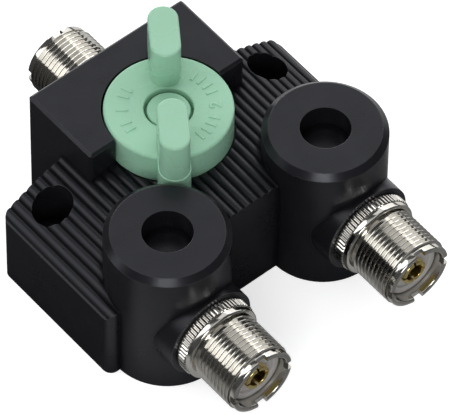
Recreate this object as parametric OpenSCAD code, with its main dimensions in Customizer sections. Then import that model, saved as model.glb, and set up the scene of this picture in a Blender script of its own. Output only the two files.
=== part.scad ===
// Coaxial antenna switch: a ribbed casting with two outputs in front, a common socket behind
// and a knob that turns the contact rotor from one output to the other.
// Millimetres, +Z up, -Y to the front. The origin is where the knob's axis meets the underside.
// The switch is drawn with the left output, at -X, switched through.

/* [Ribbed body] */
// Length across both wings
body_length = 72.5; // [70:0.5:84]
// Reach of the front face from the knob's axis
body_front = 25.3; // [24:0.1:27]
// Reach of the wings' back face from the knob's axis
body_back = 9.2; // [8:0.1:12]
// Height of the rib crests in the middle
body_height = 27.1; // [24:0.1:32]
// Width of the level middle of the roof
roof_flat = 8.8; // [4:0.1:14]
// Radius of the roof's fall to either side
roof_radius = 62.5; // [56:0.5:90]
// Radius of the wings' upright corners
corner_radius = 2; // [1:0.1:4]
// Distance from one rib to the next
rib_pitch = 2.05; // [1.9:0.01:2.2]
// Radius of a rib's crest
rib_radius = 1.2; // [1.15:0.01:1.6]

/* [Block behind the knob] */
// Width of the block
block_width = 40.2; // [39:0.1:43]
// Place of the block's front face behind the knob's axis
block_front = 0.2; // [0:0.1:2]
// Reach of the block's back face from the knob's axis
block_back = 20.4; // [20.2:0.1:22]
// Height of the block's top over the rib crests
block_rise = 6.5; // [5.4:0.1:9]
// Width of the bevel round the block's top
block_bevel = 0.6; // [0.3:0.1:1.2]
// Radius of the block's upright corners
block_corner = 0.8; // [0.4:0.1:2]

/* [Turrets and wells] */
// Distance between the two turrets' axes
turret_spacing = 41.2; // [40:0.1:43]
// Place of the turrets' axes in front of the knob's axis
turret_front = 24.6; // [24:0.1:26]
// Radius of a turret
turret_radius = 12.94; // [11.5:0.01:13.2]
// Height of a turret's top over the rib crests
turret_rise = 7.6; // [6.5:0.1:11]
// Chamfer round a turret's top
turret_chamfer = 1.3; // [0.5:0.1:2]
// Radius of the blind well in a turret
well_radius = 5.23; // [4:0.01:8]
// Depth of the blind well
well_depth = 6; // [5:0.1:8]

/* [Mounting holes] */
// Distance between the two mounting holes
mount_spacing = 56.6; // [55:0.1:60]
// Place of the mounting holes behind the knob's axis
mount_back = 2.45; // [0:0.05:4]
// Radius of a mounting hole
mount_radius = 2.25; // [1.6:0.05:2.6]
// Radius of the counterbore over a mounting hole
counterbore_radius = 4.23; // [3.6:0.01:4.6]
// Height of the counterbore's floor
counterbore_floor = 12; // [6:0.5:14]

/* [Knob] */
// Radius of the knob's disc
knob_radius = 13.3; // [12.6:0.1:13.5]
// Gap between the disc and its pocket in the casting
knob_gap = 0.4; // [0.3:0.05:0.8]
// Depth of the pocket's floor below the middle crests
pocket_sink = 0.8; // [0.4:0.1:1.2]
// Gap under the disc, and under the rear post where it passes over the block
knob_lift = 0.3; // [0.2:0.05:0.6]
// Bevel round the disc and the posts
knob_bevel = 0.5; // [0.2:0.05:0.8]
// Fall of the disc's top from its edge to its middle
knob_dish = 0.3; // [0.1:0.05:0.6]
// Length of a post, seen from above
post_length = 13.3; // [11:0.1:13.5]
// Width of a post
post_width = 6.3; // [5:0.1:6.6]
// Height of a post over the disc
post_height = 9.8; // [6:0.1:14]
// Reach of a post's outer end from the knob's axis
post_reach = 18.55; // [17:0.05:18.7]
// How much wider the pointer is beside the disc, on each side
pointer_step = 0.2; // [0.1:0.05:0.3]
// Radius of the round recess in the disc's middle
recess_radius = 5.1; // [4.6:0.1:5.2]
// Depth of the recess below the disc's top edge
recess_depth = 3; // [2.8:0.1:3.4]
// Radius of the cap in the recess
cap_radius = 4.5; // [4.2:0.1:4.6]
// Depth of the cap's top below the disc's top edge
cap_sink = 0.8; // [0.4:0.1:1]

/* [Connectors] */
// Distance of the three connectors' axes below the rib crests
axis_drop = 11.75; // [11.5:0.05:12.1]
// Radius of the boss under each turret
boss_radius = 10.2; // [9.5:0.1:11]
// Reach of a boss's end face, where a front connector seats, from the knob's axis
boss_front = 38.4; // [38:0.1:40]
// Radius of the knurled flange over its crests
flange_radius = 9.14; // [8.8:0.01:9.8]
// Width of the knurled flange
flange_width = 2.6; // [2:0.1:3.5]
// Number of grooves in the knurl
knurl_count = 64; // [40:2:72]
// Depth of a knurl groove
knurl_depth = 0.3; // [0.1:0.05:0.4]
// Radius of the smooth shoulder in front of the flange
shoulder_radius = 8.8; // [8.3:0.1:9]
// Width of the smooth shoulder
shoulder_width = 1.4; // [1.2:0.1:2.5]
// Chamfer on the shoulder's front edge
shoulder_chamfer = 0.5; // [0.2:0.1:0.8]
// Radius of the run-out neck behind the thread
neck_radius = 7.3; // [7:0.1:7.6]
// Width of the neck
neck_width = 0.4; // [0.3:0.1:1]
// Radius of the thread over its crests
thread_radius = 7.94; // [7.7:0.01:8.2]
// Length of the threaded barrel
thread_length = 10.4; // [7:0.1:12]
// Radius of the plain collar at the rim
collar_radius = 7.6; // [7.2:0.1:7.7]
// Width of the plain collar
collar_width = 1.4; // [1.2:0.1:4]
// Number of notches in the rim
notch_count = 4; // [2:1:8]
// Width of a notch
notch_width = 2.2; // [1:0.1:3]
// Depth of a notch
notch_depth = 1.2; // [0.6:0.1:2]
// Radius inside the shell
socket_radius = 6.3; // [6:0.05:6.5]
// Depth of the insulator's face below the rim
socket_depth = 2.4; // [2:0.1:7]
// Outer radius of the centre contact
contact_radius = 2.9; // [2.6:0.05:3.2]
// Radius of the bore that takes the plug's pin
contact_bore = 2; // [1.8:0.05:2.1]
// Depth of that bore
contact_depth = 8; // [6:0.1:10]
// Distance of the contact's end below the rim
contact_setback = 1.5; // [0.5:0.1:3]
// Width of the slots in the contact
slot_width = 0.5; // [0.3:0.05:0.8]
// Length of the slots in the contact
slot_length = 5; // [3:0.1:7]
// Radius of the shell's spigot in the casting
spigot_radius = 7; // [6.8:0.1:7.4]
// Length of the spigot
spigot_length = 4; // [3:0.1:4.4]

/* [Coaxial lines and chamber] */
// Place of the front lines' elbows in front of the knob's axis
elbow_front = 29.42; // [28.6:0.01:30.4]
// Radius of the inner conductors
conductor_radius = 1.4; // [1:0.05:1.5]
// Radius of the channels round the conductors
channel_radius = 3.25; // [2.8:0.05:3.6]
// Length of an insulating bead in a channel
bead_length = 3; // [2:0.5:4]
// Distance of a bead from the knob's axis, along its channel
bead_reach = 19; // [17:0.5:22]
// Radius of the round chamber of the rotor
chamber_radius = 15; // [14.6:0.1:15.4]
// Thickness of the casting between the chamber and the knob's pocket
ceiling_wall = 3.3; // [3:0.1:3.6]

/* [Bottom cover] */
// Thickness of the cover
cover_thickness = 2; // [1.5:0.1:3]
// Width of the cover
cover_width = 37; // [36:0.5:39]
// Reach of the cover's front edge from the knob's axis
cover_front = 21; // [20:0.5:22]
// Reach of the cover's back edge from the knob's axis
cover_back = 18.5; // [18:0.1:19]
// Radius of the cover's corners
cover_corner = 3; // [1:0.5:4]
// Distance of the cover screws from the cover's edges
screw_inset = 2.8; // [2.6:0.1:3.2]
// Radius of a cover screw's shank
screw_radius = 1.25; // [1:0.05:1.5]
// Radius of a cover screw's head
screw_head = 2.3; // [1.8:0.05:2.5]
// Length of a cover screw
screw_length = 7.5; // [5:0.5:8.5]

/* [Shaft] */
// Radius of the shaft
shaft_radius = 3; // [2.6:0.1:3.1]
// Distance of the flat from the shaft's axis
shaft_flat = 2.4; // [2:0.1:2.5]
// Length of the shaft in the knob
shaft_in_knob = 3.4; // [2.6:0.1:3.6]
// Radius of the bushing
bushing_radius = 5; // [4.4:0.1:5.2]
// Radius of the bushing's flange
bushing_flange = 6.2; // [5.8:0.1:6.4]
// Thickness of the bushing's flange
bushing_flange_width = 0.8; // [0.6:0.1:1]
// Radius of the knob screw's shank
knob_screw_radius = 1.25; // [1:0.05:1.4]
// Length of the knob screw's shank
knob_screw_length = 6; // [4:0.5:7]
// Radius of the knob screw's head
knob_screw_head = 2.75; // [2.2:0.05:3]
// Height of the knob screw's head
knob_screw_head_height = 1.3; // [1:0.1:1.4]
// Radius of the retaining ring
ring_radius = 4.6; // [4:0.1:5]
// Thickness of the retaining ring
ring_thickness = 0.5; // [0.4:0.05:0.6]
// Radius of the retaining ring's groove in the shaft
groove_radius = 2.3; // [2:0.1:2.5]

/* [Rotor and contacts] */
// Radius of the rotor
rotor_radius = 13; // [12.6:0.1:13.4]
// Radius of the rotor's neck above the blade
neck_hub_radius = 4.2; // [3.8:0.1:4.6]
// Thickness of the contact blade
blade_thickness = 1.1; // [0.8:0.05:1.3]
// Width of the contact blade
blade_width = 4; // [3:0.1:4.4]
// Reach of the contact blade from the knob's axis
blade_reach = 12.5; // [12:0.1:12.6]
// Radius of the post that the blade turns on
pivot_radius = 1.6; // [1.2:0.1:1.8]
// Radius of the rivets in the rotor
rivet_radius = 0.7; // [0.5:0.05:0.8]
// Radius of the rivets' heads
rivet_head = 1.2; // [1:0.05:1.4]
// Thickness of the rivets' heads
rivet_head_height = 0.4; // [0.3:0.05:0.5]
// Thickness of the ground sector
sector_thickness = 0.7; // [0.5:0.05:0.9]
// Outer radius of the ground sector
sector_radius = 13.5; // [13:0.1:13.6]
// Inner radius of the ground sector
sector_inner = 6; // [5.6:0.1:6.2]
// Thickness of a contact jaw's leaves
leaf_thickness = 0.5; // [0.4:0.05:0.6]
// Width of a contact jaw
jaw_width = 5; // [4.4:0.1:5.6]
// Distance from the knob's axis to the near end of a jaw
jaw_reach = 10.5; // [10.3:0.1:11]
// Radius of the detent ball
ball_radius = 1.5; // [1.2:0.05:1.6]
// Distance of the ball from the knob's axis
ball_reach = 11; // [10.4:0.1:11.2]
// Thickness of the detent plate
plate_thickness = 1; // [0.9:0.05:1.1]
// Depth of the ball's track in the detent plate
track_depth = 0.5; // [0.4:0.05:0.6]
// How much deeper the two rest pockets are than the track
pocket_depth = 0.3; // [0.2:0.05:0.35]

/* [Hidden] */
$fn = 96;

// Clearances
cut = 1;                 // overrun of every cut past the face that it opens
seat_gap = 0.05;         // between a fixed piece and the round seat that holds it
running_gap = 0.06;      // between the shaft and its bushing
contact_gap = 0.1;       // between a moving contact and the leaves of its jaw
free_gap = 0.3;          // between pieces that pass each other
arc_step = 15;           // degrees from one point of a rounded outline to the next
rib_steps = 8;           // flats on a rib's crest

// The knob's travel, from the left output to the right one, with the pointer along each line
turret_x = turret_spacing / 2;
pointer_angle = atan(turret_x / elbow_front);
travel = pointer_angle + pointer_angle;
full_turn = 360;
quarter_turn = 90;

// Heights of the casting and the knob
block_height = body_height + block_rise;
turret_height = body_height + turret_rise;
axis_height = body_height - axis_drop;
pocket_floor = body_height - pocket_sink;
knob_bottom = pocket_floor + knob_lift;
knob_top = block_height + knob_lift;
recess_floor = knob_top - recess_depth;
pointer_bottom = body_height + knob_lift + seat_gap;
ceiling = pocket_floor - ceiling_wall;

// Heights of the contacts, from the lines' axis
blade_bottom = axis_height - blade_thickness / 2;
blade_top = blade_bottom + blade_thickness;
lug_thickness = 1.5;
lug_top = blade_bottom - free_gap;
base_top = lug_top - lug_thickness;
post_rise = 0.7;
post_top = blade_top + post_rise;
jaw_bottom = blade_bottom - contact_gap - leaf_thickness;
jaw_top = blade_top + contact_gap + leaf_thickness;

// Heights of the rotor and the shaft
sector_bottom = axis_height + conductor_radius + free_gap;
rotor_bottom = sector_bottom + sector_thickness;
plate_bottom = ceiling - plate_thickness;
rotor_top = plate_bottom - free_gap - contact_gap - contact_gap;
hub_depth = 1.2;
hub_floor = rotor_top - hub_depth;
floor_wall = 0.5;
shaft_bottom = post_top + free_gap + floor_wall;
shaft_top = knob_bottom + shaft_in_knob;
ring_bottom = hub_floor + contact_gap;
ring_top = ring_bottom + ring_thickness;
flange_bottom = ceiling - bushing_flange_width;
ball_height = plate_bottom + track_depth - contact_gap - ball_radius;
ball_floor = rotor_bottom + floor_wall;
pin_height = (rotor_bottom + hub_floor) / 2;

// Places of the lines and their jaws
line_reach = turret_x / sin(pointer_angle);
jaw_back = blade_reach + free_gap;
jaw_back_thickness = 1.1;
line_start = jaw_back + jaw_back_thickness;
elbow_swell = 0.3;
tail_length = 1;
front_tail = boss_front - spigot_length - tail_length;
back_tail = block_back - spigot_length - tail_length;

// Stations along a connector, from the face that it seats on
neck_start = flange_width + shoulder_width;
thread_start = neck_start + neck_width;
collar_start = thread_start + thread_length;
rim = collar_start + collar_width;
insulator_face = rim - socket_depth;
contact_end = rim - contact_setback;
rim_chamfer = 0.3;
knurl_crest_share = 0.22;

// Small sizes of the knob
post_centre = post_reach - post_length / 2;
cap_wall = 1.2;
cap_bevel = 0.3;
cap_head_room = 0.2;
screw_hole_gap = 0.15;

// Small sizes of the rotor, its contacts and the detent
hub_radius = ring_radius + free_gap + free_gap;
arm_reach = 7.5;
blade_eye = 3.8;
lug_eye = 3.4;
rivet_grip = 1.7;
blade_rivet_reach = 5.8;
sector_rivet_reach = 7.7;
sector_rivet_turn = 110;
sector_gap_turn = 52;
web_thickness = 1.6;
web_outer = jaw_reach - free_gap;
web_inner = web_outer - web_thickness;
pin_radius = 0.75;
pin_reach = 6.5;
washer_radius = 4.4;
washer_thickness = 0.3;
washer_bend = 12;
spring_wall = 0.4;
plate_inner = 7;
plate_screw_radius = 0.9;
plate_screw_head = 1.7;
plate_screw_head_height = 0.8;
plate_screw_length = 2.8;
plate_screw_turn = 30;

// Rib pattern
rib_count = floor(body_length / rib_pitch);
rib_start = -rib_pitch * (rib_count - 1) / 2;
rib_drop = rib_radius - sqrt(pow(rib_radius, 2) - pow(rib_pitch / 2, 2));

// Height of the arched roof over the crests at a place along the body
function roof(x) = body_height - roof_radius
    + sqrt(pow(roof_radius, 2) - pow(max(0, abs(x) - roof_flat / 2), 2));

// Depth of a rib's round crest below the roof at a place across the rib
function crest(x) = rib_radius - sqrt(pow(rib_radius, 2) - pow(x, 2));

// Outline of the ribbed roof, seen along the ribs
function roof_outline() = concat(
    [[-body_length / 2, 0], [-body_length / 2, roof(body_length / 2) - rib_drop]],
    [for (i = [0 : rib_count - 1], j = [0 : rib_steps - 1])
        let (middle = rib_start + i * rib_pitch, across = (j / rib_steps - 1 / 2) * rib_pitch)
        [middle + across, roof(middle + across) - crest(across)]],
    [[-rib_start + rib_pitch / 2, roof(rib_start - rib_pitch / 2) - rib_drop],
     [body_length / 2, roof(body_length / 2) - rib_drop], [body_length / 2, 0]]
);

// Outline of a box with round corners, given by its four sides
function rounded(left, right, front, back, radius) = [
    for (corner = [[right, back, 0], [left, back, 1], [left, front, 2], [right, front, 3]],
         a = [0 : arc_step : quarter_turn])
        let (turn = corner[2] * quarter_turn + a)
        [corner[0] + radius * (cos(turn) - sign(corner[0] - (left + right) / 2)),
         corner[1] + radius * (sin(turn) - sign(corner[1] - (front + back) / 2))]
];

// Outline of the knurled flange
function knurl_outline() = [
    for (i = [0 : knurl_count - 1], tooth = [[-1, 0], [1, 0], [0, 1]])
        let (pitch = full_turn / knurl_count,
             turn = pitch * (i + tooth[0] * knurl_crest_share + tooth[1] / 2),
             radius = flange_radius - tooth[1] * knurl_depth)
        [radius * cos(turn), radius * sin(turn)]
];

// Places a front connector on its boss: side is -1 for the left one and 1 for the right one
module on_boss(side) {
    translate([side * turret_x, -boss_front, axis_height]) rotate([quarter_turn, 0, 0]) children();
}

// Places the common connector on the block's back
module on_back() {
    translate([0, block_back, axis_height]) rotate([-quarter_turn, 0, 0]) children();
}

// Turns +X into the direction of one output's line, at the lines' height
module on_line(side) {
    translate([0, 0, axis_height]) rotate([0, 0, side * pointer_angle - quarter_turn]) children();
}

// Turns +X into the pointer's direction at rest, for all that turns with the knob
module on_pointer() {
    rotate([0, 0, -pointer_angle - quarter_turn]) children();
}

// A round rod along +X
module rod(radius, from, to) {
    translate([from, 0, 0]) rotate([0, quarter_turn, 0]) cylinder(r = radius, h = to - from);
}

// A straight-sided bar with round ends along X, standing from one height to another
module stadium(length, width, bottom, top) {
    straight = length - width;
    translate([-straight / 2, -width / 2, bottom]) cube([straight, width, top - bottom]);
    for (end = [-1, 1])
        translate([end * straight / 2, 0, bottom]) cylinder(d = width, h = top - bottom);
}

// The same bar with its top edge bevelled
module bevelled_stadium(length, width, bottom, top, bevel) {
    straight = length - width;
    edge = top - bevel;
    for (end = [-1, 1])
        translate([end * straight / 2, 0, 0]) rotate_extrude() polygon([
            [0, bottom], [width / 2, bottom], [width / 2, edge], [width / 2 - bevel, top], [0, top]
        ]);
    translate([-straight / 2, 0, 0]) rotate([quarter_turn, 0, quarter_turn])
        linear_extrude(straight) polygon([
            [-width / 2, bottom], [width / 2, bottom], [width / 2, edge],
            [width / 2 - bevel, top], [-width / 2 + bevel, top], [-width / 2, edge]
        ]);
}

// A line from the chamber to a front connector: along the pointer's direction to an upright
// round post or pocket at the elbow, then forward
module front_line(side, radius, from, front_end) {
    on_line(side) rod(radius, from, line_reach);
    translate([side * turret_x, -elbow_front, axis_height]) {
        cylinder(r = radius + elbow_swell, h = 2 * (radius + elbow_swell), center = true);
        rotate([quarter_turn, 0, 0]) cylinder(r = radius, h = front_end - elbow_front);
    }
}

// A round hole with a flat side, for the shaft
module shaft_hole(bottom, top) {
    difference() {
        translate([0, 0, bottom]) cylinder(r = shaft_radius + seat_gap, h = top - bottom);
        translate([shaft_flat + seat_gap, -shaft_radius - cut, bottom - cut])
            cube([shaft_radius, 2 * (shaft_radius + cut), top - bottom + 2 * cut]);
    }
}

// Casting

module ribbed_body() {
    intersection() {
        translate([0, body_back, 0]) rotate([quarter_turn, 0, 0])
            linear_extrude(body_front + body_back) polygon(roof_outline());
        linear_extrude(body_height + cut)
            polygon(rounded(-body_length / 2, body_length / 2, -body_front, body_back, corner_radius));
    }
}

// A profile of the block with both top corners bevelled
function bevelled_profile(near, far) = [
    [near, 0], [far, 0], [far, block_height - block_bevel], [far - block_bevel, block_height],
    [near + block_bevel, block_height], [near, block_height - block_bevel]
];

module block() {
    intersection() {
        translate([0, block_back, 0]) rotate([quarter_turn, 0, 0])
            linear_extrude(block_back - block_front)
                polygon(bevelled_profile(-block_width / 2, block_width / 2));
        translate([-block_width / 2, 0, 0]) rotate([quarter_turn, 0, quarter_turn])
            linear_extrude(block_width) polygon(bevelled_profile(block_front, block_back));
        linear_extrude(block_height + cut)
            polygon(rounded(-block_width / 2, block_width / 2, block_front, block_back, block_corner));
    }
}

module turret(side) {
    translate([side * turret_x, -turret_front, 0]) rotate_extrude() polygon([
        [0, 0], [turret_radius, 0], [turret_radius, turret_height - turret_chamfer],
        [turret_radius - turret_chamfer, turret_height], [0, turret_height]
    ]);
    translate([side * turret_x, -turret_front, axis_height]) rotate([quarter_turn, 0, 0])
        cylinder(r = boss_radius, h = boss_front - turret_front);
}

module mounting_hole(side) {
    translate([side * mount_spacing / 2, mount_back, 0]) {
        translate([0, 0, -cut]) cylinder(r = mount_radius, h = body_height + cut);
        translate([0, 0, counterbore_floor]) cylinder(r = counterbore_radius, h = body_height);
    }
}

// Runs its children at each corner screw of the bottom cover
module each_cover_screw() {
    across = cover_width / 2 - screw_inset;
    for (x = [-across, across], y = [screw_inset - cover_front, cover_back - screw_inset])
        translate([x, y, 0]) children();
}

module cover_outline(gap) {
    polygon(rounded(gap - cover_width / 2, cover_width / 2 - gap,
                    gap - cover_front, cover_back - gap, cover_corner));
}

// Runs its children at each screw of the detent plate
module each_plate_screw() {
    for (side = [-1, 1])
        rotate([0, 0, side * plate_screw_turn - quarter_turn])
            translate([ball_reach, 0, plate_bottom]) children();
}

module housing() {
    color("#2b2b2d") difference() {
        union() {
            ribbed_body();
            block();
            turret(-1);
            turret(1);
        }
        translate([0, 0, pocket_floor])
            cylinder(r = knob_radius + knob_gap, h = block_height);
        for (side = [-1, 1]) {
            translate([side * turret_x, -turret_front, turret_height - well_depth])
                cylinder(r = well_radius, h = well_depth + cut);
            mounting_hole(side);
            front_line(side, channel_radius, jaw_reach, boss_front - spigot_length + cut / 2);
            on_boss(side) translate([0, 0, -spigot_length])
                cylinder(r = spigot_radius + seat_gap, h = spigot_length + cut);
        }
        translate([0, jaw_reach, axis_height]) rotate([-quarter_turn, 0, 0])
            cylinder(r = channel_radius, h = block_back - jaw_reach);
        on_back() translate([0, 0, -spigot_length])
            cylinder(r = spigot_radius + seat_gap, h = spigot_length + cut);
        translate([0, 0, cover_thickness - cut])
            cylinder(r = chamber_radius, h = ceiling - cover_thickness + cut);
        translate([0, 0, -cut]) linear_extrude(cover_thickness + cut) cover_outline(0);
        each_cover_screw() cylinder(r = screw_radius + seat_gap, h = screw_length + cut);
        each_plate_screw()
            cylinder(r = plate_screw_radius + seat_gap, h = plate_screw_length + seat_gap);
        cylinder(r = bushing_radius + seat_gap, h = body_height);
    }
}

module bottom_cover() {
    color("#8d8f92") difference() {
        linear_extrude(cover_thickness) cover_outline(seat_gap);
        each_cover_screw() {
            translate([0, 0, -cut]) cylinder(r = screw_radius + seat_gap, h = cover_thickness + 2 * cut);
            translate([0, 0, -seat_gap]) cylinder(
                r1 = screw_head + 2 * seat_gap, r2 = screw_radius + seat_gap,
                h = screw_head - screw_radius + seat_gap);
        }
    }
}

module cover_screws() {
    color("#9a9da1") each_cover_screw() {
        cylinder(r1 = screw_head, r2 = screw_radius, h = screw_head - screw_radius);
        cylinder(r = screw_radius, h = screw_length);
    }
}

// Connectors, drawn along +Z from the face that they seat on

module connector_shell() {
    color("#c8c4bb") difference() {
        union() {
            rotate_extrude() polygon([
                [0, -spigot_length], [spigot_radius, -spigot_length], [spigot_radius, flange_width],
                [shoulder_radius, flange_width], [shoulder_radius, neck_start - shoulder_chamfer],
                [shoulder_radius - shoulder_chamfer, neck_start], [neck_radius, neck_start],
                [neck_radius, thread_start], [thread_radius, thread_start],
                [thread_radius, collar_start], [collar_radius, collar_start],
                [collar_radius, rim - rim_chamfer], [collar_radius - rim_chamfer, rim], [0, rim]
            ]);
            linear_extrude(flange_width) polygon(knurl_outline());
        }
        translate([0, 0, -spigot_length - cut])
            cylinder(r = socket_radius, h = spigot_length + rim + 2 * cut);
        for (i = [0 : notch_count - 1])
            rotate([0, 0, i * full_turn / notch_count])
                translate([0, -notch_width / 2, rim - notch_depth])
                    cube([thread_radius + cut, notch_width, notch_depth + cut]);
    }
}

module insulator() {
    color("#9c9a94") difference() {
        translate([0, 0, -spigot_length])
            cylinder(r = socket_radius - seat_gap, h = spigot_length + insulator_face);
        translate([0, 0, -spigot_length - cut])
            cylinder(r = conductor_radius + seat_gap, h = spigot_length + insulator_face + 2 * cut);
        translate([0, 0, flange_width])
            cylinder(r = contact_radius + seat_gap, h = insulator_face);
    }
}

module contact() {
    color("#c9a24a") difference() {
        union() {
            translate([0, 0, -spigot_length - tail_length])
                cylinder(r = conductor_radius, h = spigot_length + tail_length + flange_width);
            translate([0, 0, flange_width])
                cylinder(r = contact_radius, h = contact_end - flange_width);
        }
        translate([0, 0, contact_end - contact_depth])
            cylinder(r = contact_bore, h = contact_depth + cut);
        for (turn = [0, quarter_turn])
            rotate([0, 0, turn])
                translate([-contact_radius - cut, -slot_width / 2, contact_end - slot_length])
                    cube([2 * (contact_radius + cut), slot_width, slot_length + cut]);
    }
}

module left_connector_shell() { on_boss(-1) connector_shell(); }
module right_connector_shell() { on_boss(1) connector_shell(); }
module common_connector_shell() { on_back() connector_shell(); }
module left_insulator() { on_boss(-1) insulator(); }
module right_insulator() { on_boss(1) insulator(); }
module common_insulator() { on_back() insulator(); }
module left_contact() { on_boss(-1) contact(); }
module right_contact() { on_boss(1) contact(); }
module common_contact() { on_back() contact(); }

// Lines from the sockets to the chamber

module front_conductor(side) {
    color("#cfd0d0") front_line(side, conductor_radius, line_start, front_tail);
}

module common_conductor() {
    color("#cfd0d0") {
        translate([0, neck_hub_radius + cut, axis_height]) rotate([-quarter_turn, 0, 0])
            cylinder(r = conductor_radius, h = back_tail - neck_hub_radius - cut);
        translate([-conductor_radius, 0, base_top])
            cube([2 * conductor_radius, neck_hub_radius + blade_width, lug_thickness]);
        translate([0, 0, base_top]) {
            cylinder(r = lug_eye, h = lug_thickness);
            cylinder(r = pivot_radius, h = post_top - base_top);
        }
    }
}

module bead(side) {
    color("#9c9a94") on_line(side) difference() {
        rod(channel_radius - seat_gap, bead_reach, bead_reach + bead_length);
        rod(conductor_radius + seat_gap, bead_reach - cut, bead_reach + bead_length + cut);
    }
}

module contact_jaw(side) {
    color("#d6b25a") rotate([0, 0, side * pointer_angle - quarter_turn]) {
        for (bottom = [jaw_bottom, jaw_top - leaf_thickness])
            translate([jaw_reach, -jaw_width / 2, bottom])
                cube([line_start - jaw_reach, jaw_width, leaf_thickness]);
        translate([jaw_back, -jaw_width / 2, base_top])
            cube([jaw_back_thickness, jaw_width, jaw_top - base_top]);
    }
}

module left_conductor() { front_conductor(-1); }
module right_conductor() { front_conductor(1); }
module left_bead() { bead(-1); }
module right_bead() { bead(1); }
module left_contact_jaw() { contact_jaw(-1); }
module right_contact_jaw() { contact_jaw(1); }

module contact_base() {
    color("#dcd6c6") translate([0, 0, cover_thickness])
        cylinder(r = chamber_radius - free_gap, h = base_top - cover_thickness);
}

// Bearing and detent in the chamber's ceiling

module shaft_bushing() {
    color("#b9975b") difference() {
        union() {
            translate([0, 0, flange_bottom])
                cylinder(r = bushing_flange, h = bushing_flange_width);
            translate([0, 0, flange_bottom])
                cylinder(r = bushing_radius, h = pocket_floor - flange_bottom);
        }
        translate([0, 0, flange_bottom - cut])
            cylinder(r = shaft_radius + running_gap, h = pocket_floor - flange_bottom + 2 * cut);
    }
}

module detent_plate() {
    color("#9a9da1") difference() {
        translate([0, 0, plate_bottom])
            cylinder(r = chamber_radius - free_gap, h = plate_thickness);
        translate([0, 0, plate_bottom - cut])
            cylinder(r = plate_inner, h = plate_thickness + 2 * cut);
        rotate([0, 0, quarter_turn - pointer_angle]) rotate_extrude(angle = travel)
            translate([ball_reach, ball_height]) circle(r = ball_radius + contact_gap);
        for (side = [-1, 1])
            rotate([0, 0, quarter_turn + side * pointer_angle])
                translate([ball_reach, 0, ball_height + pocket_depth])
                    sphere(ball_radius + contact_gap);
        each_plate_screw() {
            translate([0, 0, -seat_gap]) cylinder(
                r1 = plate_screw_head + 2 * seat_gap, r2 = plate_screw_radius + seat_gap,
                h = plate_screw_head_height + seat_gap);
            cylinder(r = plate_screw_radius + seat_gap, h = plate_thickness + cut);
        }
    }
}

module detent_screws() {
    color("#9a9da1") each_plate_screw() {
        cylinder(r1 = plate_screw_head, r2 = plate_screw_radius, h = plate_screw_head_height);
        cylinder(r = plate_screw_radius, h = plate_screw_length);
    }
}

// Knob and shaft

module knob() {
    color("#9fd0b3") on_pointer() difference() {
        union() {
            rotate_extrude() polygon([
                [0, knob_bottom], [knob_radius, knob_bottom], [knob_radius, knob_top - knob_bevel],
                [knob_radius - knob_bevel, knob_top], [recess_radius, knob_top - knob_dish],
                [recess_radius, recess_floor], [0, recess_floor]
            ]);
            translate([-post_centre, 0, 0]) bevelled_stadium(
                post_length, post_width, knob_top, knob_top + post_height, knob_bevel);
            intersection() {
                translate([-post_centre, 0, 0])
                    stadium(post_length, post_width, knob_top - 2 * knob_dish, knob_top);
                cylinder(r = knob_radius - knob_bevel, h = knob_top);
            }
            translate([post_centre, 0, 0]) bevelled_stadium(
                post_length, post_width, pointer_bottom, knob_top + post_height, knob_bevel);
            translate([post_centre, 0, 0]) stadium(
                post_length + 2 * pointer_step, post_width + 2 * pointer_step,
                pointer_bottom, knob_top - knob_dish);
        }
        shaft_hole(knob_bottom - cut, shaft_top + seat_gap);
        cylinder(r = knob_screw_radius + screw_hole_gap, h = knob_top);
    }
}

module knob_cap() {
    cap_top = knob_top - cap_sink;
    head_top = recess_floor + knob_screw_head_height + cap_head_room;
    color("#9fd0b3") rotate_extrude() polygon([
        [cap_radius - cap_wall, recess_floor], [cap_radius, recess_floor],
        [cap_radius, cap_top - cap_bevel], [cap_radius - cap_bevel, cap_top],
        [0, cap_top], [0, head_top], [cap_radius - cap_wall, head_top]
    ]);
}

module knob_screw() {
    color("#9a9da1") {
        translate([0, 0, recess_floor]) cylinder(r = knob_screw_head, h = knob_screw_head_height);
        translate([0, 0, recess_floor - knob_screw_length])
            cylinder(r = knob_screw_radius, h = knob_screw_length + seat_gap);
    }
}

// The flat on one end of the shaft
module shaft_cut(bottom, top) {
    translate([shaft_flat, -shaft_radius - cut, bottom])
        cube([shaft_radius, 2 * (shaft_radius + cut), top - bottom]);
}

module shaft() {
    color("#a9acb0") on_pointer() difference() {
        translate([0, 0, shaft_bottom]) cylinder(r = shaft_radius, h = shaft_top - shaft_bottom);
        shaft_cut(shaft_bottom - cut, hub_floor);
        shaft_cut(knob_bottom, shaft_top + cut);
        translate([0, 0, ring_bottom - seat_gap]) difference() {
            cylinder(r = shaft_radius + cut, h = ring_thickness + 2 * seat_gap);
            translate([0, 0, -cut]) cylinder(r = groove_radius, h = ring_thickness + 3 * cut);
        }
        translate([0, 0, recess_floor - knob_screw_length - free_gap])
            cylinder(r = knob_screw_radius + seat_gap, h = knob_screw_length);
        translate([0, 0, pin_height]) rotate([quarter_turn, 0, 0])
            cylinder(r = pin_radius + seat_gap, h = 2 * (shaft_radius + cut), center = true);
    }
}

module retaining_ring() {
    color("#8f9296") on_pointer() translate([0, 0, ring_bottom]) difference() {
        cylinder(r = ring_radius, h = ring_thickness);
        translate([0, 0, -cut]) cylinder(r = groove_radius + seat_gap, h = ring_thickness + 2 * cut);
        translate([-groove_radius, 0, -cut])
            cube([2 * groove_radius, ring_radius + cut, ring_thickness + 2 * cut]);
    }
}

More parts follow.
